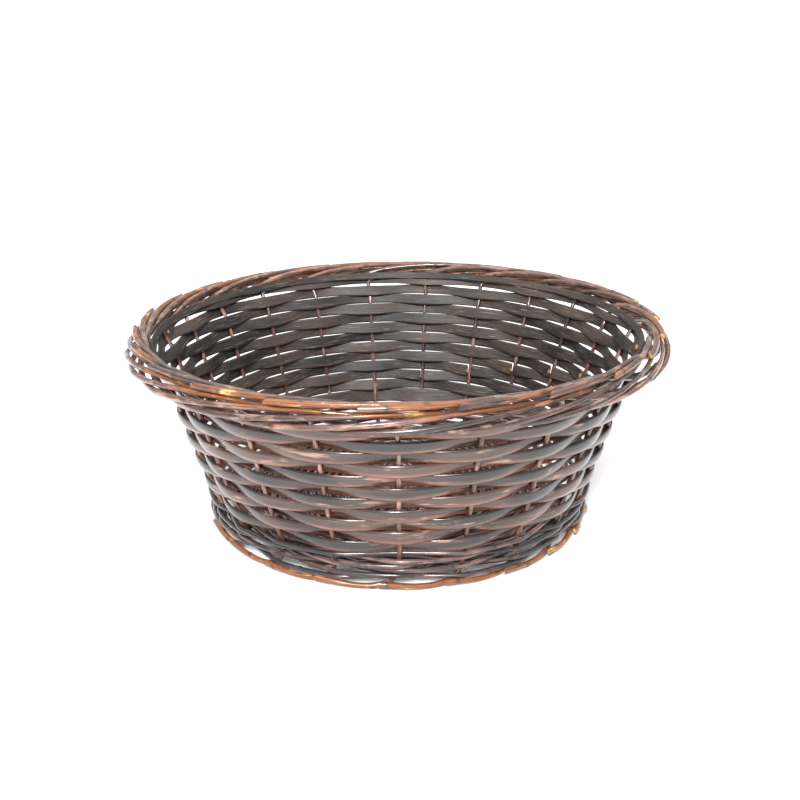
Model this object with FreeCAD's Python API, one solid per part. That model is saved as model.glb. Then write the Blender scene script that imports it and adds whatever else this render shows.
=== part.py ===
"""Round willow fruit basket: a laid base, 23 side stakes, a wale, split-willow randing and a rod border.

Millimetres, +Z up. The origin is the centre of the ring that the foot rests on.
"""
import FreeCAD, Part
import math
import os

V = FreeCAD.Vector

# Wall: a straight flare that opens further under the border and curves out into the foot.
STAKE_COUNT = 23
WALL_BOTTOM_Z = 12.0
WALL_TOP_Z = 135.0
WALL_BOTTOM_R = 137.5
WALL_TOP_R = 176.5
FLARE_START_Z = 108.0
FLARE = 4.0             # extra radius at the top of the wall
FOOT_CURVE_Z = 22.0     # the foot curve starts here and has its full extra radius 15 mm lower
FOOT_CURVE = 3.1
RIM_TILT = 2.0          # the rim stands this much higher at the front, and lower at the back

# Stakes: round rods, set with the thicker end up, which makes the border.
STAKE_R = 1.8
STAKE_TOP_R = 2.05
SPACING_WAVE = 2.3      # degrees, once round: stakes stand wider apart at the front
SPACING_WAVE_2 = 2.6    # degrees, twice round

# Side weave: half-round splits, over one stake and under the next.
SPLIT_FILL = 0.97       # width of a split over the distance between rows, along the wall
SPLIT_THICK = 2.7
FRONT_START_Z = 32.3
FRONT_PITCH = 8.97
BACK_START_Z = 41.6
BACK_PITCH = 8.12
SQUEEZE_TURN = 9.0      # from this turn on, the rows at the back lie closer and closer
SQUEEZE = 0.417
SPLIT_SPAN = 22         # stake intervals covered by one split
FIRST_STAKE = -10
LAST_STAKE = 250
# Short splits that fill the wall under the border at the back: first and last stake interval, height and
# width at both ends, and whether it is woven or tucked in behind the stakes.
TOP_SPLITS = [(258, 270, (131.6, 133.8), (6.0, 3.2), True),
              (279, 296, (138.2, 138.2), (5.2, 5.2), False)]
TUCKED_R = 178.6

# Wale: three round rods, in front of two stakes and behind one. Two level rounds, stepped up at the back.
WALE_ROD_R = 1.55
WALE_START_Z = 9.8
WALE_ROD_STEP = 3.3
WALE_ROUNDS = 2
WALE_START = 8          # stake interval, from the front, where the first rod starts
WALE_STEP_UP = 2.0      # stake intervals over which a rod climbs to its second round

# Base: three sticks laid across three, fanned to twelve spokes, and paired round with thin rods.
BASE_STICK_R = 2.4
BASE_STICK_GAP = 0.4
BASE_REACH = 131.0
BASE_MID_Z = 9.7
BASE_CROSS_REACH = 9.0  # the sticks lie side by side as far as this
FAN_R = 30.0            # from here the spokes point straight out
SPOKES = 12
PAIR_ROD_R = 1.4
PAIR_INNER_R = 32.0
PAIR_STEP = 6.05        # radial step from one round of the pairing to the next
PAIR_ROUNDS = 8         # rounds in one length of rod

CLEARANCE = 0.25        # between a weaver and the stake that it bends round
SECTION_SIDES = 8
SPAN_SECTIONS = 12      # sections that one length of surface runs through

# Route of a stake's butt in the foot: (stake intervals clockwise, radius, height).
FOOT_ROUTE = [(1.25, 143.9, 5.0), (1.0, 143.1, 3.6), (0.75, 142.2, 2.0), (0.6, 141.6, 1.6),
              (0.45, 141.0, 1.6), (0.28, 140.2, 3.0), (0.1, 139.0, 7.0)]

# Route of a stake's top in the border: out over the rim, down the outside, in under it between two
# stakes, up behind the rods that came before and over them again, where the tip is cut.
BORDER_ROUTE = [(0.0, 179.6, 133.4), (0.07, 181.0, 136.0), (0.22, 182.5, 138.0), (0.45, 184.5, 139.2),
                (0.75, 187.2, 140.6), (1.1, 189.8, 141.3), (1.5, 192.6, 140.6), (2.0, 195.3, 138.7),
                (2.5, 196.9, 136.1), (3.0, 196.6, 133.4), (3.5, 194.2, 131.6), (4.0, 190.8, 131.8),
                (4.5, 187.6, 133.8), (4.9, 185.3, 137.7), (5.2, 184.2, 141.9), (5.5, 183.6, 144.5),
                (6.0, 185.6, 146.2), (6.5, 188.2, 146.4), (7.0, 190.8, 146.2), (7.5, 193.3, 145.3),
                (7.9, 195.1, 144.2)]
WALL_ROUTE_Z = [22.0, 45.0, 75.0, 100.0, 116.0, 126.0]
STAKE_SAMPLE = 4.5      # mm between the sections of a stake


def stake_angle(place):
    """Azimuth in radians of a place counted in stake intervals anticlockwise from the front."""
    turn = 2 * math.pi * place / STAKE_COUNT
    uneven = SPACING_WAVE * math.sin(turn) + SPACING_WAVE_2 * math.sin(2 * turn)
    return turn - math.pi / 2 + math.radians(uneven)


def wall_radius(z):
    """Radius of the stakes' centres."""
    straight = WALL_BOTTOM_R + (WALL_TOP_R - WALL_BOTTOM_R) * (z - WALL_BOTTOM_Z) / (WALL_TOP_Z - WALL_BOTTOM_Z)
    flare = FLARE * max(0.0, (z - FLARE_START_Z) / (WALL_TOP_Z - FLARE_START_Z)) ** 2
    return straight + flare + FOOT_CURVE * max(0.0, (FOOT_CURVE_Z - z) / 15) ** 2


def wall_slope(z):
    """Lean of the wall from upright, in radians."""
    return math.atan((wall_radius(z + 1) - wall_radius(z - 1)) / 2)


def polar(angle, r, z):
    return V(r * math.cos(angle), r * math.sin(angle), z)


def side_point(place, r, z):
    """A point of the side, tilted with the rim."""
    angle = stake_angle(place)
    return polar(angle, r, z * (1 - RIM_TILT * math.sin(angle) / WALL_TOP_Z))


def smooth_route(points, spacing):
    """Evenly spaced points on one smooth curve through the given ones."""
    curve = Part.BSplineCurve()
    curve.interpolate(points)
    return curve.discretize(Number=int(curve.length() / spacing) + 1)


def section_frames(centres, upright_axis=None):
    """For each centre: the direction away from the axis of the basket, and the third direction."""
    frames = []
    last = len(centres) - 1
    for i, c in enumerate(centres):
        along = centres[min(i + 1, last)] - centres[max(i - 1, 0)]
        along.normalize()
        ref = upright_axis or V(c.x, c.y, 0)
        out = ref - along * ref.dot(along)
        out.normalize()
        frames.append((out, along.cross(out)))
    return frames


def facet(rail_a, rail_b):
    """The strip of surface between two lengthwise rails that share their knots."""
    surface = Part.BSplineSurface()
    surface.buildFromPolesMultsKnots([rail_a.getPoles(), rail_b.getPoles()], [2, 2], rail_a.getMultiplicities(),
                                     [0.0, 1.0], rail_a.getKnots(), False, False, 1, rail_a.Degree)
    return surface.toShape()


def bar(centres, outlines, upright_axis=None):
    """A solid along centres. Each outline is a closed list of (outward, sideways) corners."""
    frames = section_frames(centres, upright_axis)
    corners = [[c + out * a + side * b for a, b in outline]
               for c, (out, side), outline in zip(centres, frames, outlines)]
    steps = [float(i) for i in range(len(centres))]
    rails = []
    for j in range(len(corners[0])):
        curve = Part.BSplineCurve()
        curve.interpolate(Points=[row[j] for row in corners], Parameters=steps)
        rails.append(curve)
    faces = []
    spans = max(1, round(steps[-1] / SPAN_SECTIONS))
    for k in range(spans):
        pieces = [rail.copy() for rail in rails]
        for piece in pieces:
            piece.segment(steps[-1] * k / spans, steps[-1] * (k + 1) / spans)
        faces += [facet(pieces[j - 1], pieces[j]) for j in range(len(pieces))]
    for row in (corners[0], corners[-1]):
        faces.append(Part.Face(Part.makePolygon(row + [row[0]])))
    shell = Part.Shell(faces)
    shell.sewShape()
    solid = Part.Solid(shell)
    if solid.Volume < 0:
        solid.reverse()
    return solid


def round_outline(r):
    """An eight-sided outline with the area of a circle of radius r."""
    step = 2 * math.pi / SECTION_SIDES
    corner = r * math.sqrt(2 * math.pi / (SECTION_SIDES * math.sin(step)))
    return [(corner * math.cos(step * (k + 0.5)), corner * math.sin(step * (k + 0.5)))
            for k in range(SECTION_SIDES)]


def round_bar(centres, radii, upright_axis=None):
    return bar(centres, [round_outline(r) for r in radii], upright_axis)


def split_outline(width, slope):
    """Half-round split, flat inside and crowned outside, leaning with the wall."""
    half = width / 2
    flat = -SPLIT_THICK / 2
    edge = flat + 0.45 * SPLIT_THICK
    crown = SPLIT_THICK / 2
    corners = [(flat, -half), (flat, half), (edge, half), (crown, 0.45 * half), (crown, -0.45 * half), (edge, -half)]
    c = math.cos(slope)
    s = math.sin(slope)
    return [(a * c + b * s, b * c - a * s) for a, b in corners]


def side_stake(number):
    """One rod: its butt in the foot, worn flat where it rests, its length in the wall, its top in the border."""
    points = [side_point(number - s, r, z) for s, r, z in FOOT_ROUTE]
    points += [side_point(number, wall_radius(z), z) for z in WALL_ROUTE_Z]
    points += [side_point(number - s, r, z) for s, r, z in BORDER_ROUTE]
    centres = smooth_route(points, STAKE_SAMPLE)
    radii = []
    for i in range(len(centres)):
        top = max(0.0, i / (len(centres) - 1) - 0.3) / 0.7
        radii.append(STAKE_R + (STAKE_TOP_R - STAKE_R) * top)
    rod = round_bar(centres, radii)
    above_ground = Part.makeBox(420, 420, 200, V(-210, -210, 0))
    return rod.common(above_ground).Solids[0]


def at_back(place):
    """0 at the front of the basket, 1 at the back."""
    return (1 - math.cos(stake_angle(place) + math.pi / 2)) / 2


def row(place):
    """Height of the weave and the width of its splits: rows lie closer at the back, and start higher there."""
    turns = place / STAKE_COUNT
    squeezed = max(0.0, turns - SQUEEZE_TURN)
    front_z = FRONT_START_Z + FRONT_PITCH * turns
    back_z = BACK_START_Z + BACK_PITCH * turns - SQUEEZE * squeezed ** 2
    back_pitch = BACK_PITCH - 2 * SQUEEZE * squeezed
    z = front_z + (back_z - front_z) * at_back(place)
    pitch = FRONT_PITCH + (back_pitch - FRONT_PITCH) * at_back(place)
    return z, SPLIT_FILL * pitch / math.cos(wall_slope(z))


def split(start, end, level, woven):
    """One split: outside the odd stakes and inside the even ones, or inside them all."""
    swing = STAKE_R + SPLIT_THICK / 2 + CLEARANCE
    per_stake = 4
    trim = 0.12
    count = int((end - start) * per_stake)
    centres = []
    outlines = []
    for i in range(count + 1):
        place = start + trim + (end - start - 2 * trim) * i / count
        z, width = level(place)
        if woven:
            r = wall_radius(z) - swing * math.cos(math.pi * place)
        else:
            r = TUCKED_R
        centres.append(side_point(place, r, z))
        outlines.append(split_outline(width, wall_slope(z)))
    return bar(centres, outlines)


def top_split(start, end, heights, widths, woven):
    def level(place):
        t = (place - start) / (end - start)
        return heights[0] + (heights[1] - heights[0]) * t, widths[0] + (widths[1] - widths[0]) * t
    return split(start, end, level, woven)


def wale_rod(number):
    """One rod of the wale: in front of two stakes, behind the third."""
    swing = STAKE_R + WALE_ROD_R + CLEARANCE
    per_stake = 4
    length = WALE_ROUNDS * STAKE_COUNT - WALE_STEP_UP - 1
    centres = []
    for i in range(int(length * per_stake) + 1):
        along = i / per_stake
        climb = min(1.0, max(0.0, (along - STAKE_COUNT + WALE_STEP_UP + 1) / WALE_STEP_UP))
        level = number + 3 * climb * climb * (3 - 2 * climb)
        z = WALE_START_Z + WALE_ROD_STEP * level
        side = 0.35 - 1.35 * math.cos(2 * math.pi * (along - number) / 3)
        r = wall_radius(z) + swing * max(-1.0, min(1.0, side))
        centres.append(side_point(WALE_START + along, r, z))
    return round_bar(centres, [WALE_ROD_R] * len(centres))


def base_stick(number):
    """A stick of the base: side by side with its neighbours in the middle, then fanned out."""
    row = number % 3 - 1
    crosswise = number >= 3
    lift = (BASE_STICK_R + 0.1) * (1 if crosswise else -1)
    offset = row * (2 * BASE_STICK_R + BASE_STICK_GAP)
    spread = math.radians(360 / SPOKES) * row
    half = [V(3.0, offset, BASE_MID_Z + lift), V(BASE_CROSS_REACH, offset, BASE_MID_Z + lift)]
    for i in range(6):
        r = FAN_R + (BASE_REACH - FAN_R) * i / 5
        half.append(V(r * math.cos(spread), r * math.sin(spread), BASE_MID_Z))
    points = [V(-p.x, p.y, p.z) for p in reversed(half)] + half
    if crosswise:
        points = [V(-p.y, p.x, p.z) for p in points]
    centres = smooth_route(points, 6.0)
    return round_bar(centres, [BASE_STICK_R] * len(centres), V(0, 0, 1))


def base_weaver(number):
    """One rod of the pairing: two rods twist about each other between the spokes."""
    per_spoke = 4
    swing = BASE_STICK_R + PAIR_ROD_R + CLEARANCE
    twist = PAIR_ROD_R + 0.15
    above = 1 if number % 2 == 0 else -1
    first_r = PAIR_INNER_R + (number // 2) * PAIR_ROUNDS * PAIR_STEP
    centres = []
    for i in range(PAIR_ROUNDS * SPOKES * per_spoke - 1):
        place = i / per_spoke
        r = first_r + PAIR_STEP * place / SPOKES + above * twist * math.sin(math.pi * place)
        z = BASE_MID_Z + above * swing * math.cos(math.pi * place)
        centres.append(polar(2 * math.pi * place / SPOKES, r, z))
    return round_bar(centres, [PAIR_ROD_R] * len(centres), V(0, 0, 1))


def main():
    os.makedirs("parts", exist_ok=True)
    parts = {}
    for n in range(6):
        parts["base_stick_%d" % (n + 1)] = base_stick(n)
    for n in range(4):
        parts["base_weaver_%d" % (n + 1)] = base_weaver(n)
    for n in range(STAKE_COUNT):
        parts["side_stake_%02d" % (n + 1)] = side_stake(n)
    for n in range(3):
        parts["wale_rod_%d" % (n + 1)] = wale_rod(n)
    start = FIRST_STAKE
    number = 1
    while start < LAST_STAKE:
        end = min(start + SPLIT_SPAN, LAST_STAKE)
        parts["side_weaver_%02d" % number] = split(start, end, row, True)
        start = end
        number += 1
    for values in TOP_SPLITS:
        parts["side_weaver_%02d" % number] = top_split(*values)
        number += 1
    for name, shape in parts.items():
        print(name, shape.isValid(), round(shape.Volume), [round(v, 1) for v in (
            shape.BoundBox.XMin, shape.BoundBox.XMax, shape.BoundBox.ZMin, shape.BoundBox.ZMax)])
        shape.exportStep("parts/%s.step" % name)


main()
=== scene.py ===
import bpy
import math
import random
import numpy as np
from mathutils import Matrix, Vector


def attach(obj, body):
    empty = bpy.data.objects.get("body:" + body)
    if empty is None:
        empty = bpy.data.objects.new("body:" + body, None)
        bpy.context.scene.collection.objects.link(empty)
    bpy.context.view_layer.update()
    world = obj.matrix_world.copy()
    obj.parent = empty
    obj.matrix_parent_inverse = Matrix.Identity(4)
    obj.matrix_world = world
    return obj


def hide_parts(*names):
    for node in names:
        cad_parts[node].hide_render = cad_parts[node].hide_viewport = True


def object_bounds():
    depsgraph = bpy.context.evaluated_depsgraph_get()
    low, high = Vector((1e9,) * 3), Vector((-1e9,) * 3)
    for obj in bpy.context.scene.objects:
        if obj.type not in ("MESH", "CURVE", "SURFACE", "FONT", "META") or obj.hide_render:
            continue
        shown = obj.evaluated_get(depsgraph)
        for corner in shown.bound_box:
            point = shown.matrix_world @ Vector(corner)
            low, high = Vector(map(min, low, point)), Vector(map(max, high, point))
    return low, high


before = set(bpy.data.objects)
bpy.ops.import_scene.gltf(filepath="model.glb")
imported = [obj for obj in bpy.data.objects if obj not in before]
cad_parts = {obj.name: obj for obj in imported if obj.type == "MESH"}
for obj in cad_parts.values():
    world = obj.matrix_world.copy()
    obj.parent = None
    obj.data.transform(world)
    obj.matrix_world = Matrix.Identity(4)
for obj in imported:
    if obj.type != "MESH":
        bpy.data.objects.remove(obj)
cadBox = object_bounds()
print("frame loaded", len(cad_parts), "nodes")

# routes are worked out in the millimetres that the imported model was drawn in, and mm turns them into metres
drawnHeight = 150.5
mm = (cadBox[1].z - cadBox[0].z) / drawnHeight

basket = {
    "stakes": 23,
    "wallLowZ": 12.0,
    "wallHighZ": 135.0,
    "wallLowR": 137.5,
    "wallHighR": 176.5,
    "flareZ": 108.0,      # from here the wall opens further, by flare at its top
    "flare": 4.0,
    "footCurveZ": 22.0,   # below this it curves out, by footCurve once it is footCurveDepth lower
    "footCurveDepth": 15.0,
    "footCurve": 3.1,
    "tilt": 2.0,          # the rim stands this much higher at the front, and lower at the back
    "spacingWave": 2.3,   # degrees, once round
    "spacingWave2": 2.6,  # degrees, twice round
}


# ---- node trees ----

class Wire:
    # one output of a node; sums written on it add Math nodes
    def __init__(self, desk, socket):
        self.desk = desk
        self.socket = socket

    def other(self, name):
        return Wire(self.desk, self.socket.node.outputs[name])

    def maths(self, operation, *values):
        return self.desk.add("ShaderNodeMath", {"operation": operation}, dict(enumerate(values)))

    def __add__(self, other):
        return self.maths("ADD", self, other)

    def __radd__(self, other):
        return self.maths("ADD", other, self)

    def __sub__(self, other):
        return self.maths("SUBTRACT", self, other)

    def __rsub__(self, other):
        return self.maths("SUBTRACT", other, self)

    def __mul__(self, other):
        return self.maths("MULTIPLY", self, other)

    def __rmul__(self, other):
        return self.maths("MULTIPLY", other, self)

    def __truediv__(self, other):
        return self.maths("DIVIDE", self, other)

    def __rtruediv__(self, other):
        return self.maths("DIVIDE", other, self)

    def atLeast(self, other):
        return self.maths("MAXIMUM", self, other)

    def over(self, low, high):
        # 0 below low, 1 above high, eased between; low may be the larger
        settings = {"interpolation_type": "SMOOTHSTEP"}
        return self.desk.add("ShaderNodeMapRange", settings, {0: self, 1: low, 2: high, 3: 0.0, 4: 1.0})


class Desk:
    # a node tree to work on
    def __init__(self, tree):
        self.tree = tree

    def add(self, kind, settings=None, values=None, output=0):
        node = self.tree.nodes.new(kind)
        for name, value in (settings or {}).items():
            setattr(node, name, value)
        for key, value in (values or {}).items():
            socket = node.inputs[key]
            if isinstance(value, Wire):
                self.tree.links.new(value.socket, socket)
            elif value is not None:
                socket.default_value = value
        return Wire(self, node.outputs[output]) if len(node.outputs) else node

    def vector(self, operation, a, b, output=0):
        return self.add("ShaderNodeVectorMath", {"operation": operation}, {0: a, 1: b}, output)

    def scaled(self, a, amount):
        return self.add("ShaderNodeVectorMath", {"operation": "SCALE"}, {0: a, "Scale": amount})

    def mix(self, share, a, b, blend="MIX"):
        settings = {"data_type": "RGBA", "blend_type": blend, "clamp_factor": True}
        return self.add("ShaderNodeMix", settings, {0: share, 6: a, 7: b}, 2)

    def noise(self, place, scale, detail=2.0, roughness=0.5):
        values = {"Vector": place, "Scale": scale, "Detail": detail, "Roughness": roughness}
        return self.add("ShaderNodeTexNoise", {}, values)


def knotCell(desk, rodPlace, every):
    # distance to the nearest bud scar, in scar spacings
    settings = {"voronoi_dimensions": "1D"}
    return desk.add("ShaderNodeTexVoronoi", settings, {"W": rodPlace.other("Z"), "Scale": 1 / every})


def towards(desk, cell, spot):
    # how far a spot of the section lies on the side of the rod that the scar is on
    turn = desk.add("ShaderNodeSeparateXYZ", {}, {0: cell.other("Color")}) * (2 * math.pi)
    return spot * turn.maths("COSINE", turn) + spot.other("Y") * turn.maths("SINE", turn)


knotRadius = 1.2  # mm, of a rod that the scars' shading is made for


def knotShade(desk, rodPlace, every, reach):
    # one bud scar in each stretch of a rod, on one side of it: 1 at its middle, 0 beyond its reach
    xyz = desk.add("ShaderNodeSeparateXYZ", {}, {0: rodPlace})
    cell = knotCell(desk, xyz, every)
    side = towards(desk, cell, xyz)
    near = cell.over(reach / every, 0.0)
    return near * (side * (1 / (knotRadius * mm))).over(-0.2, 1.2)


# ---- rods and splits along a route ----

swellReach = 2.6  # mm, along a rod from the middle of a bud scar to the end of its swelling


def rodTree():
    tree = bpy.data.node_groups.new("rodAlongRoute", "GeometryNodeTree")
    sizes = (("Sides", "NodeSocketInt", 12), ("Flat back", "NodeSocketFloat", -1.0),
             ("Ridge", "NodeSocketFloat", 0.0), ("Ridge length", "NodeSocketFloat", 0.02),
             ("Knot height", "NodeSocketFloat", 0.0), ("Knot every", "NodeSocketFloat", 0.04),
             ("Seed", "NodeSocketFloat", 0.0))
    tree.interface.new_socket("Route", in_out="INPUT", socket_type="NodeSocketGeometry")
    for name, kind, value in sizes:
        tree.interface.new_socket(name, in_out="INPUT", socket_type=kind).default_value = value
    tree.interface.new_socket("Skin", in_out="INPUT", socket_type="NodeSocketMaterial")
    tree.interface.new_socket("Cut end", in_out="INPUT", socket_type="NodeSocketMaterial")
    tree.interface.new_socket("Rod", in_out="OUTPUT", socket_type="NodeSocketGeometry")
    desk = Desk(tree)
    given = desk.add("NodeGroupInput")

    def named(name, kind="FLOAT_VECTOR"):
        return desk.add("GeometryNodeInputNamedAttribute", {"data_type": kind}, {"Name": name})

    def store(shape, name, value, kind="FLOAT_VECTOR"):
        settings = {"data_type": kind, "domain": "POINT"}
        values = {"Geometry": shape, "Name": name, "Value": value}
        return desk.add("GeometryNodeStoreNamedAttribute", settings, values)

    # the section: a circle, or one cut off flat at the back, between -1 and 1 each way
    back = given.other("Flat back")
    sides = {"Resolution": given.other("Sides")}
    circle = desk.add("GeometryNodeCurvePrimitiveCircle", {"mode": "RADIUS"}, sides)
    spot = desk.add("ShaderNodeSeparateXYZ", {}, {0: desk.add("GeometryNodeInputPosition")})
    sectionX = (spot.atLeast(back) - (1 + back) * 0.5) * 2 / (1 - back)
    section = desk.add("ShaderNodeCombineXYZ", {}, {"X": sectionX, "Y": spot.other("Y")})
    ring = store(circle, "section", section)

    line = desk.add("GeometryNodeMeshToCurve", {}, {"Mesh": given})
    line = store(line, "centre", desk.add("GeometryNodeInputPosition"))
    sweep = desk.add("GeometryNodeCurveToMesh", {},
                     {"Curve": line, "Profile Curve": ring, "Scale": 0.001, "Fill Caps": True})

    at = desk.add("ShaderNodeSeparateXYZ", {}, {0: named("section")})
    deep = at * named("thick", "FLOAT")
    wide = at.other("Y") * named("wide", "FLOAT")
    place = desk.vector("ADD", named("centre"), desk.scaled(named("outward"), deep))
    place = desk.vector("ADD", place, desk.scaled(named("across"), wide))
    place = desk.vector("ADD", place, desk.scaled(named("slant"), at))
    shape = desk.add("GeometryNodeSetPosition", {}, {"Geometry": sweep, "Position": place})
    rodPlace = desk.add("ShaderNodeCombineXYZ", {}, {"X": deep, "Y": wide, "Z": named("along", "FLOAT")})
    shape = store(shape, "rodPlace", rodPlace)
    cutFace = (1 + back).over(0.0, 0.2) * at.over(-0.9, -1.0)
    shape = store(shape, "cutFace", cutFace, "FLOAT")

    # uneven growth and bud scars
    seed = desk.add("ShaderNodeCombineXYZ", {}, {"X": given.other("Seed")})
    stretch = {"X": 160.0, "Y": 160.0, "Z": 1 / given.other("Ridge length")}
    stretched = desk.vector("MULTIPLY", named("rodPlace"), desk.add("ShaderNodeCombineXYZ", {}, stretch))
    growth = desk.noise(desk.vector("ADD", stretched, seed), 1.0, 2.0)
    swell = (growth - 0.5) * 2 * given.other("Ridge")
    xyz = desk.add("ShaderNodeSeparateXYZ", {}, {0: named("rodPlace")})
    every = given.other("Knot every")
    cell = knotCell(desk, xyz, every)
    near = (cell * every).over(swellReach * mm, 0.0)
    swell = swell + near * towards(desk, cell, at).over(-0.2, 1.0) * given.other("Knot height")
    push = desk.scaled(desk.add("GeometryNodeInputNormal"), swell)
    shape = desk.add("GeometryNodeSetPosition", {}, {"Geometry": shape, "Offset": push})

    corners = desk.add("GeometryNodeInputMeshFaceNeighbors")
    more = {"data_type": "INT", "operation": "GREATER_THAN"}
    isEnd = desk.add("FunctionNodeCompare", more, {2: corners, 3: 4})
    isSide = desk.add("FunctionNodeBooleanMath", {"operation": "NOT"}, {0: isEnd})
    shape = desk.add("GeometryNodeSetShadeSmooth", {"domain": "FACE"},
                     {"Geometry": shape, "Shade Smooth": isSide})
    shape = desk.add("GeometryNodeRealizeInstances", {}, {"Geometry": shape})
    shape = desk.add("GeometryNodeSetMaterial", {}, {"Geometry": shape, "Material": given.other("Skin")})
    shape = desk.add("GeometryNodeSetMaterial", {},
                     {"Geometry": shape, "Selection": isEnd, "Material": given.other("Cut end")})
    desk.add("NodeGroupOutput", {}, {0: shape})
    return tree


def stakeAngle(place):
    # azimuth in radians of a place counted in stake intervals anticlockwise from the front
    turn = 2 * math.pi * place / basket["stakes"]
    uneven = basket["spacingWave"] * math.sin(turn) + basket["spacingWave2"] * math.sin(2 * turn)
    return turn - math.pi / 2 + math.radians(uneven)


def wallRadius(z):
    # radius of the stakes' centres
    slope = (basket["wallHighR"] - basket["wallLowR"]) / (basket["wallHighZ"] - basket["wallLowZ"])
    inFlare = max(0.0, (z - basket["flareZ"]) / (basket["wallHighZ"] - basket["flareZ"]))
    inCurve = max(0.0, (basket["footCurveZ"] - z) / basket["footCurveDepth"])
    straight = basket["wallLowR"] + slope * (z - basket["wallLowZ"])
    return straight + basket["flare"] * inFlare ** 2 + basket["footCurve"] * inCurve ** 2


def wallSlope(z):
    # lean of the wall from upright, in radians
    return math.atan((wallRadius(z + 1) - wallRadius(z - 1)) / 2)


def polar(angle, r, z):
    return (r * math.cos(angle), r * math.sin(angle), z)


def sidePoint(place, r, z):
    # a point of the side, tilted with the rim
    angle = stakeAngle(place)
    return polar(angle, r, z * (1 - basket["tilt"] * math.sin(angle) / basket["wallHighZ"]))


def smoothLine(points, spacing):
    # a natural cubic spline through the points, in steps of about the spacing; also gives each step's
    # place among the points, as a number from 0 to their count less one
    p = np.array(points, float)
    t = np.concatenate([[0.0], np.cumsum(np.linalg.norm(np.diff(p, axis=0), axis=1))])
    h = np.diff(t)
    n = len(p)
    system = np.eye(n)
    right = np.zeros((n, 3))
    for i in range(1, n - 1):
        system[i, i - 1:i + 2] = h[i - 1], 2 * (h[i - 1] + h[i]), h[i]
        right[i] = 6 * ((p[i + 1] - p[i]) / h[i] - (p[i] - p[i - 1]) / h[i - 1])
    bend = np.linalg.solve(system, right)
    steps = np.linspace(0.0, t[-1], int(t[-1] / spacing) + 1)
    k = np.clip(np.searchsorted(t, steps, side="right") - 1, 0, n - 2)
    a = (steps - t[k])[:, None]
    b = (t[k + 1] - steps)[:, None]
    w = h[k][:, None]
    line = (bend[k] * b ** 3 + bend[k + 1] * a ** 3) / (6 * w)
    line += (p[k] / w - bend[k] * w / 6) * b + (p[k + 1] / w - bend[k + 1] * w / 6) * a
    return line, k + (a / w)[:, 0]


class Route:
    # the middle line of a rod in millimetres, with its section and tone at each step
    def __init__(self, line, up=None):
        self.line = np.array(line, float)
        ahead = np.gradient(self.line, axis=0)
        self.ahead = ahead / np.linalg.norm(ahead, axis=1)[:, None]
        away = self.line * (1.0, 1.0, 0.0) if up is None else np.tile(up, (len(self.line), 1))
        away = away - self.ahead * np.sum(away * self.ahead, axis=1)[:, None]
        self.outward = away / np.linalg.norm(away, axis=1)[:, None]
        self.across = np.cross(self.ahead, self.outward)
        pace = np.linalg.norm(np.diff(self.line, axis=0), axis=1)
        self.along = np.concatenate([[0.0], np.cumsum(pace)])
        count = len(self.line)
        self.thick = np.ones(count)
        self.wide = np.ones(count)
        self.tone = np.zeros(count)
        self.shade = np.zeros(count)
        self.slant = np.zeros((count, 3))

    def roll(self, angles):
        c = np.cos(angles)[:, None]
        s = np.sin(angles)[:, None]
        out = self.outward * c + self.across * s
        self.across = self.across * c - self.outward * s
        self.outward = out

    def round(self, radii):
        self.thick = np.array(radii, float)
        self.wide = self.thick.copy()

    def cutEnds(self, first, last):
        # slanted cuts: how far the outward side of an end runs on past its middle
        self.slant[0] = self.ahead[0] * -first
        self.slant[-1] = self.ahead[-1] * last


rodNodes = rodTree()
rodSockets = {item.name: item.identifier for item in rodNodes.interface.items_tree if item.in_out == "INPUT"}


def makePiece(name, node, route, look, seed):
    mesh = bpy.data.meshes.new(name)
    count = len(route.line)
    mesh.from_pydata(route.line * mm, [(i, i + 1) for i in range(count - 1)], [])
    offset = 3.7 * seed
    layers = (("thick", "FLOAT", route.thick * mm), ("wide", "FLOAT", route.wide * mm),
              ("along", "FLOAT", route.along * mm + offset), ("tone", "FLOAT", route.tone),
              ("shade", "FLOAT", route.shade), ("outward", "FLOAT_VECTOR", route.outward),
              ("across", "FLOAT_VECTOR", route.across), ("slant", "FLOAT_VECTOR", route.slant * mm))
    for layer, kind, values in layers:
        field = "vector" if kind == "FLOAT_VECTOR" else "value"
        flat = np.ravel(values).astype(np.float32)
        mesh.attributes.new(layer, kind, "POINT").data.foreach_set(field, flat)
    piece = bpy.data.objects.new(name, mesh)
    bpy.context.scene.collection.objects.link(piece)
    grow = piece.modifiers.new("grow", "NODES")
    grow.node_group = rodNodes
    values = {"Sides": look["sides"], "Flat back": look.get("flatBack", -1.0), "Ridge": look["ridge"] * mm,
              "Ridge length": look["ridgeLength"] * mm, "Knot height": look.get("knot", 0.0) * mm,
              "Knot every": look.get("knotEvery", 40.0) * mm, "Seed": float(seed),
              "Skin": look["skin"], "Cut end": look["cut"]}
    for label, value in values.items():
        grow[rodSockets[label]] = value
    bpy.context.view_layer.update()
    graph = bpy.context.evaluated_depsgraph_get()
    grown = bpy.data.meshes.new_from_object(
        piece.evaluated_get(graph), preserve_all_data_layers=True, depsgraph=graph)
    piece.modifiers.remove(grow)
    piece.data = grown
    grown.name = name
    bpy.data.meshes.remove(mesh)
    for layer in ("thick", "wide", "along", "outward", "across", "slant", "section", "centre"):
        if layer in grown.attributes:
            grown.attributes.remove(grown.attributes[layer])
    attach(piece, "root")
    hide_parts(node)
    return piece


# ---- finishes ----

def colour(code):
    # a hexadecimal screen colour as the linear values that a shader takes
    parts = [int(code[i:i + 2], 16) / 255 for i in (0, 2, 4)]
    return [v / 12.92 if v <= 0.04045 else ((v + 0.055) / 1.055) ** 2.4 for v in parts] + [1.0]


def attribute(desk, name, output):
    settings = {"attribute_type": "GEOMETRY", "attribute_name": name}
    return desk.add("ShaderNodeAttribute", settings, {}, output)


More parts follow.
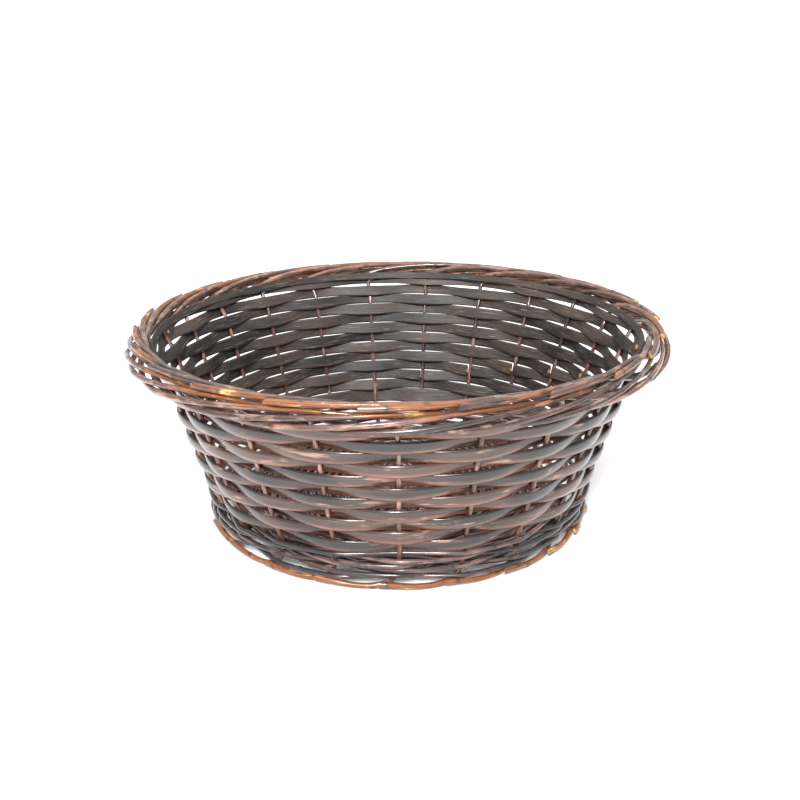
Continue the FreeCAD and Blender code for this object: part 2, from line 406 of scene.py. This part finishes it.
def bumpMap(desk, strength, depth, height):
    # depth is in millimetres
    return desk.add("ShaderNodeBump", {}, {"Strength": strength, "Distance": depth * mm, "Height": height})


def newMaterial(name, constants):
    material = bpy.data.materials.new(name)
    material.use_nodes = True
    shader = material.node_tree.nodes["Principled BSDF"]
    for key, value in constants.items():
        shader.inputs[key].default_value = value
    return material, Desk(material.node_tree), shader


def feed(desk, shader, **values):
    for key, value in values.items():
        desk.tree.links.new(value.socket, shader.inputs[key.replace("_", " ")])


def barkRod(name, look):
    # stained and lacquered round willow: long fine wrinkles, drifting stain, rubbed places, bud scars
    material, desk, shader = newMaterial(name, {
        "IOR": 1.5, "Coat Weight": look["coat"], "Coat Roughness": look["coatRoughness"], "Coat IOR": 1.5})
    place = attribute(desk, "rodPlace", "Vector")
    tone = attribute(desk, "tone", "Fac")
    shade = attribute(desk, "shade", "Fac")
    long = desk.vector("MULTIPLY", place, (900.0, 900.0, 55.0))
    drift = desk.noise(desk.vector("MULTIPLY", place, (110.0, 110.0, 24.0)), 1.0, 3.0, 0.6)
    patch = desk.noise(desk.vector("MULTIPLY", place, (260.0, 260.0, 70.0)), 1.0, 3.0, 0.6)
    wrinkle = desk.noise(long, 1.0, 3.0, 0.6)
    fibre = desk.noise(desk.vector("MULTIPLY", place, (2600.0, 2600.0, 130.0)), 1.0, 2.0, 0.5)
    stain = desk.mix((drift * 0.75 + shade * 0.5).over(0.35, 0.8), colour(look["dark"]), colour(look["mid"]))
    stain = desk.mix((patch + shade * 0.15).over(0.56, 0.74) * 0.6, stain, colour(look["light"]))
    rubbed = (tone * 1.15 + (patch - 0.5) * 1.3 + (drift - 0.5) * 1.2 + (shade - 0.5) * 0.5).over(0.35, 0.85)
    stain = desk.mix(rubbed, stain, colour(look["worn"]))
    bright = (tone * 0.9 + (patch - 0.5) * 1.6 + (wrinkle - 0.5) * 0.6).over(0.85, 1.15)
    stain = desk.mix(bright, stain, colour(look["bare"]))
    stain = desk.mix(wrinkle.over(0.52, 0.3) * 0.55, stain, colour(look["groove"]))
    knot = knotShade(desk, place, look["knotEvery"] * mm, look["knotReach"] * mm)
    stain = desk.mix(knot * 0.75, stain, colour(look["groove"]))
    roughness = look["roughness"] + (wrinkle - 0.5) * 0.25 + rubbed * 0.06 + knot * 0.15
    height = wrinkle * 0.7 + fibre * 0.18 + patch * 0.35
    bump = bumpMap(desk, look["bump"], 0.25, height)
    feed(desk, shader, Base_Color=stain, Roughness=roughness, Normal=bump)
    return material


def splitWood(name, look):
    # split willow: satin bark on the crowned side, with painted light as a lighter red over one half of its
    # width; matt open grain on the flat side
    material, desk, shader = newMaterial(name, {
        "IOR": 1.5, "Coat Roughness": look["coatRoughness"], "Coat IOR": 1.5})
    place = attribute(desk, "rodPlace", "Vector")
    xyz = desk.add("ShaderNodeSeparateXYZ", {}, {0: place})
    cut = attribute(desk, "cutFace", "Fac").over(0.2, 0.8)
    shade = attribute(desk, "shade", "Fac")
    drift = desk.noise(desk.vector("MULTIPLY", place, (90.0, 90.0, 16.0)), 1.0, 3.0, 0.6)
    patch = desk.noise(desk.vector("MULTIPLY", place, (240.0, 240.0, 46.0)), 1.0, 3.0, 0.6)
    wrinkle = desk.noise(desk.vector("MULTIPLY", place, (700.0, 700.0, 30.0)), 1.0, 3.0, 0.6)
    fibre = desk.noise(desk.vector("MULTIPLY", place, (2300.0, 2300.0, 70.0)), 1.0, 3.0, 0.65)
    pale = (drift + (shade - 0.5) * 0.4).over(0.35, 0.68)
    bark = desk.mix(pale, colour(look["dark"]), colour(look["mid"]))
    # painted light: across each split's width, the half on the side its across direction points to is tinted
    # a lighter red, by an amount set per stretch, standing in for the lit half of the strip
    paintedLitHalf = (xyz.other("Y") * (1 / (4.0 * mm)) + (patch - 0.5) * 1.2).over(-0.1, 0.9)
    bark = desk.mix(paintedLitHalf * (0.35 + shade * 0.5), bark, colour(look["paintedLightRed"]))
    bark = desk.mix((patch + (drift - 0.5) * 0.6).over(0.6, 0.76) * 0.6, bark, colour(look["worn"]))
    bark = desk.mix(wrinkle.over(0.5, 0.28) * 0.5, bark, colour(look["groove"]))
    inner = desk.mix((drift * 0.6 + fibre * 0.5 + (shade - 0.5) * 0.35).over(0.35, 0.72),
                     colour(look["cutDark"]), colour(look["cutMid"]))
    inner = desk.mix((fibre * 0.8 + wrinkle * 0.45).over(0.68, 0.84) * 0.7, inner, colour(look["cutLight"]))
    skin = desk.mix(cut, bark, inner)
    barkRough = look["roughness"] + (wrinkle - 0.5) * 0.22
    cutRough = look["cutRoughness"] + (fibre - 0.5) * 0.3
    height = (wrinkle * 0.5 + patch * 0.5 + fibre * 0.1) * (1 - cut) + (fibre * 0.9 + wrinkle * 0.7) * cut
    bump = bumpMap(desk, look["bump"], 0.3, height)
    feed(desk, shader, Base_Color=skin, Roughness=barkRough * (1 - cut) + cutRough * cut, Normal=bump,
         Coat_Weight=(1 - cut) * look["coat"])
    return material


def cutWood(name, look):
    # an end cut across: pale pith and rings, soaked with stain at the rim
    material, desk, shader = newMaterial(name, {"IOR": 1.45})
    place = attribute(desk, "rodPlace", "Vector")
    flat = desk.vector("MULTIPLY", place, (1.0, 1.0, 0.0))
    reach = desk.add("ShaderNodeVectorMath", {"operation": "LENGTH"}, {0: flat}, "Value")
    speck = desk.noise(desk.vector("MULTIPLY", place, (2400.0, 2400.0, 300.0)), 1.0, 2.0, 0.6)
    wood = desk.mix(speck.over(0.35, 0.7), colour(look["wood"]), colour(look["pale"]))
    wood = desk.mix((reach * (1 / mm) + (speck - 0.5) * 0.5).over(1.35, 1.85), wood, colour(look["rim"]))
    bump = bumpMap(desk, 0.4, 0.15, speck)
    feed(desk, shader, Base_Color=wood, Roughness=0.55 + speck * 0.25, Normal=bump)
    return material


cutEnd = cutWood("cutEnd", {"wood": "c79a55", "pale": "f0dca0", "rim": "8a5a30"})
darkCut = cutWood("darkCutEnd", {"wood": "8a6848", "pale": "b08c62", "rim": "4a3426"})

print("finishes made")

# ---- side stakes, from their cut butts in the foot to their tips in the border ----

stakeLook = {
    "sides": 14,
    "ridge": 0.13,
    "ridgeLength": 14.0,
    "knot": 0.4,
    "knotEvery": 34.0,
    "slot": "stake_rod",
    "cut": cutEnd,
    "radius": 1.65,
    # radius at shares of the rod's length: butt, wall and border
    "radiusAt": (0.08, 0.16, 0.45, 0.62),
    "radii": (2.0, 1.65, 1.65, 2.25),
    # places in the border, with how far round them, where the rim is rubbed
    "rubbed": ((0.9, 1.3), (6.9, 1.4)),
    "step": 2.1,
    # (stake intervals clockwise, radius, height)
    "foot": [(1.3, 144.4, 5.2), (1.1, 143.9, 4.6), (0.9, 142.9, 3.2), (0.7, 142.0, 2.3), (0.5, 141.3, 2.2),
             (0.32, 140.4, 3.0), (0.15, 139.4, 5.4)],
    "wallZ": [22.0, 45.0, 75.0, 100.0, 116.0, 126.0],
    "border": [(0.0, 179.6, 133.4), (0.07, 181.0, 136.0), (0.22, 182.5, 138.0), (0.45, 184.5, 139.2),
               (0.75, 187.2, 140.6), (1.1, 189.8, 141.3), (1.5, 192.6, 140.6), (2.0, 195.3, 138.7),
               (2.5, 196.9, 136.1), (3.0, 196.6, 133.4), (3.5, 194.2, 131.6), (4.0, 190.8, 131.8),
               (4.5, 187.6, 133.8), (4.9, 185.3, 137.7), (5.2, 184.2, 141.9), (5.5, 183.6, 144.5),
               (6.0, 185.6, 146.2), (6.5, 188.2, 146.4), (7.0, 190.8, 146.2), (7.35, 192.3, 145.7)],
    "tipCut": 3.2,
    "buttCut": 1.6,
}
stakeLook["skin"] = barkRod("stakeRod", {
    "dark": "1c110d", "mid": "5e3e32", "light": "b08c7a",
    "worn": "7e4820", "bare": "dcae68", "groove": "140c0a",
    "knotEvery": stakeLook["knotEvery"], "knotReach": 3.2,
    "roughness": 0.3, "bump": 0.5, "coat": 0.5, "coatRoughness": 0.12})


def stakeRoute(number):
    draw = random.Random(100 + number)
    foot = stakeLook["foot"]
    border = stakeLook["border"]
    points = [sidePoint(number - s, r, z) for s, r, z in foot]
    points += [sidePoint(number, wallRadius(z), z) for z in stakeLook["wallZ"]]
    points += [sidePoint(number - s, r, z) for s, r, z in border]
    line, place = smoothLine(points, stakeLook["step"])
    route = Route(line)
    count = len(line)
    share = np.linspace(0.0, 1.0, count)
    wobble = np.sin(share * draw.uniform(20, 30) + draw.uniform(0, 6)) * 0.04
    width = draw.uniform(0.93, 1.02)
    growth = np.interp(share, stakeLook["radiusAt"], stakeLook["radii"])
    route.round(growth * (width + wobble))
    # rubbed on top of the rim and where the butts touch the ground
    firstRim = len(foot) + len(stakeLook["wallZ"])
    rimPoints = np.arange(firstRim, firstRim + len(border))
    rimPlace = np.interp(place, rimPoints, [s for s, _, _ in border], left=-1.0)
    topSide = sum(np.clip(1 - np.abs(rimPlace - at) / reach, 0, 1) for at, reach in stakeLook["rubbed"])
    footSide = np.clip((len(foot) - place) / 2.5, 0, 1)
    route.tone = np.where(rimPlace > -0.5, topSide * draw.uniform(0.35, 1.0), footSide * 0.8)
    route.shade = np.full(count, draw.random())
    route.cutEnds(stakeLook["buttCut"], stakeLook["tipCut"])
    return route


for n in range(basket["stakes"]):
    makePiece("stake_%02d" % (n + 1), "side_stake_%02d" % (n + 1), stakeRoute(n), stakeLook, n)
print("side stakes and border done")

# ---- split weavers of the side ----

splitLook = {
    "sides": 16,
    "flatBack": -0.3,
    "ridge": 0.12,
    "ridgeLength": 30.0,
    "slot": "split_weaver",
    "cut": darkCut,
    "thick": 2.6,
    "atStake": 1.14,      # width over the distance between rows, in front of a stake
    "atCrossing": 1.01,   # and where two rows change places
    "frontZ": 32.3,
    "frontPitch": 8.97,
    "backZ": 41.6,
    "backPitch": 8.12,
    "squeezeTurn": 9.0,   # from this turn on, the rows at the back lie closer and closer
    "squeeze": 0.417,
    "span": 22,
    "first": -10,
    "firstEarly": 7,      # the lowest split starts this much sooner, and is deeper there
    "deeper": 3.2,        # by this much, from deeperFrom back over deeperOver stake intervals
    "deeperFrom": -5.0,
    "deeperOver": 5.0,
    "last": 250,
    # short splits under the border at the back: first and last place, height and width at both ends,
    # and whether it is woven or tucked in behind the stakes
    "top": [(258, 270, (131.6, 133.8), (6.4, 3.6), True),
            (279, 296, (138.2, 138.2), (5.4, 5.4), False)],
    "tuckedR": 178.6,
    "perStake": 18,
    "trim": 0.04,
}
splitLook["skin"] = splitWood("splitWillow", {
    # the red colour here is painted light, laid over one half of each split's width
    "dark": "140e0c", "mid": "463028", "paintedLightRed": "8a5440", "worn": "b89078", "groove": "0a0706",
    "cutDark": "120e0c", "cutMid": "40342d", "cutLight": "9c8c7e",
    "roughness": 0.3, "cutRoughness": 0.5, "bump": 0.6, "coat": 0.6, "coatRoughness": 0.16})


def atBack(place):
    return (1 - math.cos(stakeAngle(place) + math.pi / 2)) / 2


def rowAt(place):
    # height of the weave and the distance between its rows, along the wall
    turns = place / basket["stakes"]
    squeezed = max(0.0, turns - splitLook["squeezeTurn"])
    front = splitLook["frontZ"] + splitLook["frontPitch"] * turns
    back = splitLook["backZ"] + splitLook["backPitch"] * turns - splitLook["squeeze"] * squeezed ** 2
    backPitch = splitLook["backPitch"] - 2 * splitLook["squeeze"] * squeezed
    share = atBack(place)
    early = (splitLook["deeperFrom"] - place) / splitLook["deeperOver"]
    deeper = splitLook["deeper"] * min(1.0, max(0.0, early))
    z = front + (back - front) * share - deeper / 2
    pitch = splitLook["frontPitch"] + (backPitch - splitLook["frontPitch"]) * share + deeper
    return z, pitch / math.cos(wallSlope(z))


def splitRoute(start, end, number, rowFor, woven):
    draw = random.Random(300 + number)
    swing = stakeLook["radius"] + splitLook["thick"] / 2
    count = int((end - start) * splitLook["perStake"])
    places = np.linspace(start + splitLook["trim"], end - splitLook["trim"], count + 1)
    rows = np.array([rowFor(place) for place in places])
    line = []
    for place, (z, _) in zip(places, rows):
        r = wallRadius(z) - swing * math.cos(math.pi * place) if woven else splitLook["tuckedR"]
        line.append(sidePoint(place, r, z))
    route = Route(line)
    stops = np.arange(start, end + 2)
    drift = [draw.uniform(-0.07, 0.07) for _ in stops]
    twist = np.interp(places, stops, drift)
    route.roll(twist + np.array([wallSlope(z) for z, _ in rows]))
    waist = splitLook["atCrossing"]
    bulge = splitLook["atStake"] - waist
    shape = waist + bulge * np.abs(np.cos(np.pi * places)) ** 1.5
    uneven = [draw.uniform(-0.035, 0.035) for _ in stops]
    shape = shape + np.interp(places, stops, uneven)
    route.wide = shape * rows[:, 1] / 2
    route.thick = np.full(len(places), splitLook["thick"] / 2)
    shades = [draw.random() for _ in stops]
    route.shade = np.interp(places, stops, shades)
    route.cutEnds(0.3, 0.3)
    return route


strips = []
start = splitLook["first"]
while start < splitLook["last"]:
    end = min(start + splitLook["span"], splitLook["last"])
    early = splitLook["firstEarly"] if start == splitLook["first"] else 0
    strips.append((start - early, end, rowAt, True))
    start = end
for start, end, heights, widths, woven in splitLook["top"]:
    def topRow(place, start=start, end=end, heights=heights, widths=widths):
        return np.interp(place, (start, end), heights), np.interp(place, (start, end), widths)
    strips.append((start, end, topRow, woven))
for number, (start, end, rowFor, woven) in enumerate(strips, 1):
    route = splitRoute(start, end, number, rowFor, woven)
    makePiece("split_%02d" % number, "side_weaver_%02d" % number, route, splitLook, 40 + number)
print("split weave done")

# ---- wale: three thin rods, in front of two stakes and behind one ----

waleLook = {
    "sides": 12,
    "ridge": 0.1,
    "ridgeLength": 12.0,
    "knot": 0.3,
    "knotEvery": 30.0,
    "slot": "wale_rod",
    "cut": darkCut,
    "radius": 1.75,
    "startZ": 7.4,
    "rodStep": 3.6,
    "rounds": 2,
    "start": 8,
    "stepUp": 2.0,
    "perStake": 16,
    "clear": 0.25,
}
waleLook["skin"] = barkRod("waleRod", {
    "dark": "171112", "mid": "3a2a29", "light": "74584f",
    "worn": "8a6252", "bare": "b8906e", "groove": "0e0a0a",
    "knotEvery": waleLook["knotEvery"], "knotReach": 3.2,
    "roughness": 0.3, "bump": 0.5, "coat": 0.5, "coatRoughness": 0.15})


def waleRoute(number):
    draw = random.Random(500 + number)
    swing = stakeLook["radius"] + waleLook["radius"] + waleLook["clear"]
    length = waleLook["rounds"] * basket["stakes"] - waleLook["stepUp"] - 1
    line = []
    for along in np.linspace(0.0, length, int(length * waleLook["perStake"]) + 1):
        climb = min(1.0, max(0.0, (along - basket["stakes"] + waleLook["stepUp"] + 1) / waleLook["stepUp"]))
        level = number + 3 * climb * climb * (3 - 2 * climb)
        z = waleLook["startZ"] + waleLook["rodStep"] * level
        side = 0.35 - 1.35 * math.cos(2 * math.pi * (along - number) / 3)
        r = wallRadius(z) + swing * max(-1.0, min(1.0, side))
        line.append(sidePoint(waleLook["start"] + along, r, z))
    route = Route(line)
    share = np.linspace(0, 1, len(line))
    route.round(waleLook["radius"] * (1 + 0.04 * np.sin(share * 90 + draw.uniform(0, 6))))
    route.shade = 0.5 + 0.5 * np.sin(share * draw.uniform(30, 50) + draw.uniform(0, 6))
    route.tone = np.full(len(line), 0.1)
    route.cutEnds(1.5, 1.5)
    return route


for n in range(3):
    makePiece("wale_%d" % (n + 1), "wale_rod_%d" % (n + 1), waleRoute(n), waleLook, 60 + n)
print("wale done")

# ---- base: three sticks across three, paired round with thin rods ----

stickLook = {
    "sides": 14,
    "ridge": 0.15,
    "ridgeLength": 14.0,
    "knot": 0.45,
    "knotEvery": 38.0,
    "slot": "base_stick",
    "cut": darkCut,
    "radius": 2.4,
    "gap": 0.4,
    "reach": 131.0,
    "midZ": 9.7,
    "crossReach": 9.0,
    "fanR": 30.0,
    "spokes": 12,
}
stickLook["skin"] = barkRod("baseStick", {
    "dark": "2c1d17", "mid": "553728", "light": "7a5640",
    "worn": "8a6040", "bare": "b08a60", "groove": "1a110d",
    "knotEvery": stickLook["knotEvery"], "knotReach": 3.2,
    "roughness": 0.38, "bump": 0.55, "coat": 0.25, "coatRoughness": 0.2})


def stickRoute(number):
    draw = random.Random(600 + number)
    row = number % 3 - 1
    crosswise = number >= 3
    lift = (stickLook["radius"] + 0.1) * (1 if crosswise else -1)
    offset = row * (2 * stickLook["radius"] + stickLook["gap"])
    spread = math.radians(360 / stickLook["spokes"]) * row
    z = stickLook["midZ"]
    half = [(3.0, offset, z + lift), (stickLook["crossReach"], offset, z + lift)]
    for i in range(6):
        r = stickLook["fanR"] + (stickLook["reach"] - stickLook["fanR"]) * i / 5
        half.append((r * math.cos(spread), r * math.sin(spread), z))
    points = [(-x, y, z) for x, y, z in reversed(half)] + half
    if crosswise:
        points = [(-y, x, z) for x, y, z in points]
    line, _ = smoothLine(points, 2.5)
    route = Route(line, up=(0.0, 0.0, 1.0))
    share = np.linspace(0, 1, len(line))
    route.round(stickLook["radius"] * (1 - 0.05 * share + 0.02 * np.sin(share * 25 + draw.uniform(0, 6))))
    route.shade = np.full(len(line), draw.random())
    route.tone = np.full(len(line), 0.15)
    route.cutEnds(0.8, 0.8)
    return route


for n in range(6):
    makePiece("stick_%d" % (n + 1), "base_stick_%d" % (n + 1), stickRoute(n), stickLook, 70 + n)

pairLook = {
    "sides": 10,
    "ridge": 0.1,
    "ridgeLength": 12.0,
    "knot": 0.25,
    "knotEvery": 36.0,
    "slot": "base_weaver",
    "cut": darkCut,
    "radius": 1.4,
    "innerR": 32.0,
    "step": 6.05,
    "rounds": 8,
    "perSpoke": 20,
    "clear": 0.25,
}
pairLook["skin"] = barkRod("baseWeaver", {
    "dark": "271a17", "mid": "4a322a", "light": "6c4c3e",
    "worn": "7c5640", "bare": "a07a58", "groove": "170f0d",
    "knotEvery": pairLook["knotEvery"], "knotReach": 3.2,
    "roughness": 0.36, "bump": 0.5, "coat": 0.3, "coatRoughness": 0.18})


def pairRoute(number):
    swing = stickLook["radius"] + pairLook["radius"] + pairLook["clear"]
    twist = pairLook["radius"] + 0.15
    above = 1 if number % 2 == 0 else -1
    firstR = pairLook["innerR"] + (number // 2) * pairLook["rounds"] * pairLook["step"]
    spokes = stickLook["spokes"]
    length = pairLook["rounds"] * spokes - 0.5
    line = []
    for place in np.linspace(0.0, length, int(length * pairLook["perSpoke"]) + 1):
        r = firstR + pairLook["step"] * place / spokes + above * twist * math.sin(math.pi * place)
        z = stickLook["midZ"] + above * swing * math.cos(math.pi * place)
        line.append(polar(2 * math.pi * place / spokes, r, z))
    route = Route(line, up=(0.0, 0.0, 1.0))
    share = np.linspace(0, 1, len(line))
    route.round(pairLook["radius"] * (1 + 0.04 * np.sin(share * 120)))
    route.shade = 0.5 + 0.5 * np.sin(share * 40 + number)
    route.tone = np.full(len(line), 0.1)
    route.cutEnds(1.0, 1.0)
    return route


for n in range(4):
    makePiece("pair_%d" % (n + 1), "base_weaver_%d" % (n + 1), pairRoute(n), pairLook, 80 + n)
print("base done")

# ---- studio ----

studio = {
    "floorR": 40.0,
    "horizon": 1.05,
    "middle": 0.2,
    "zenith": 2.1,
    "keySize": 0.35,
    "keyPower": 42.0,
    "keyPlace": (-0.15, -1.5, 1.15),
    "keyAimZ": 0.08,
    "distance": 0.868,
    "elevation": 20.178,
    "aimX": 0.0013,
    "aimZ": 0.0833,
    "lens": 51.31,
    "roll": 0.505,
}


def makeFloor():
    mesh = bpy.data.meshes.new("floor")
    r = studio["floorR"]
    mesh.from_pydata([(-r, -r, 0), (r, -r, 0), (r, r, 0), (-r, r, 0)], [], [(0, 1, 2, 3)])
    floor = bpy.data.objects.new("floor", mesh)
    bpy.context.scene.collection.objects.link(floor)
    pale = {"Base Color": (0.92, 0.92, 0.92, 1.0), "Roughness": 0.6}
    mesh.materials.append(newMaterial("paleFloor", pale)[0])


def makeLight(name, place, size, power):
    lamp = bpy.data.lights.new(name, "AREA")
    lamp.shape = "DISK"
    lamp.size = size
    lamp.energy = power
    lampObject = bpy.data.objects.new(name, lamp)
    lampObject.location = place
    aim = Vector((0.0, 0.0, studio["keyAimZ"])) - Vector(place)
    lampObject.rotation_euler = aim.to_track_quat("-Z", "Y").to_euler()
    bpy.context.scene.collection.objects.link(lampObject)


def makeCamera():
    lens = bpy.data.cameras.new("camera")
    lens.lens = studio["lens"]
    lens.sensor_width = 36.0
    camera = bpy.data.objects.new("camera", lens)
    bpy.context.scene.collection.objects.link(camera)
    rise = math.radians(studio["elevation"])
    camera.location = (studio["aimX"], -studio["distance"] * math.cos(rise),
                       studio["aimZ"] + studio["distance"] * math.sin(rise))
    camera.rotation_euler = (math.pi / 2 - rise, 0.0, 0.0)
    bpy.context.view_layer.update()
    camera.rotation_euler.rotate_axis("Z", -math.radians(studio["roll"]))
    bpy.context.scene.camera = camera


def makeWorld():
    # a pale room: white at the height of the horizon, dim above it and bright overhead
    world = bpy.data.worlds.new("studioWorld")
    world.use_nodes = True
    desk = Desk(world.node_tree)
    direction = desk.add("ShaderNodeTexCoord", {}, {}, "Generated")
    rise = desk.add("ShaderNodeSeparateXYZ", {}, {0: direction}).other("Z")
    strength = studio["middle"] + (studio["zenith"] - studio["middle"]) * rise.over(0.1, 0.9)
    strength = strength + (studio["horizon"] - studio["middle"]) * rise.over(0.2, 0.1)
    background = world.node_tree.nodes["Background"]
    world.node_tree.links.new(strength.socket, background.inputs["Strength"])
    background.inputs["Color"].default_value = (1.0, 1.0, 1.0, 1.0)
    bpy.context.scene.world = world


makeWorld()
bpy.context.scene.view_settings.view_transform = "Standard"
makeFloor()
makeLight("key", studio["keyPlace"], studio["keySize"], studio["keyPower"])
makeCamera()
print("studio done")
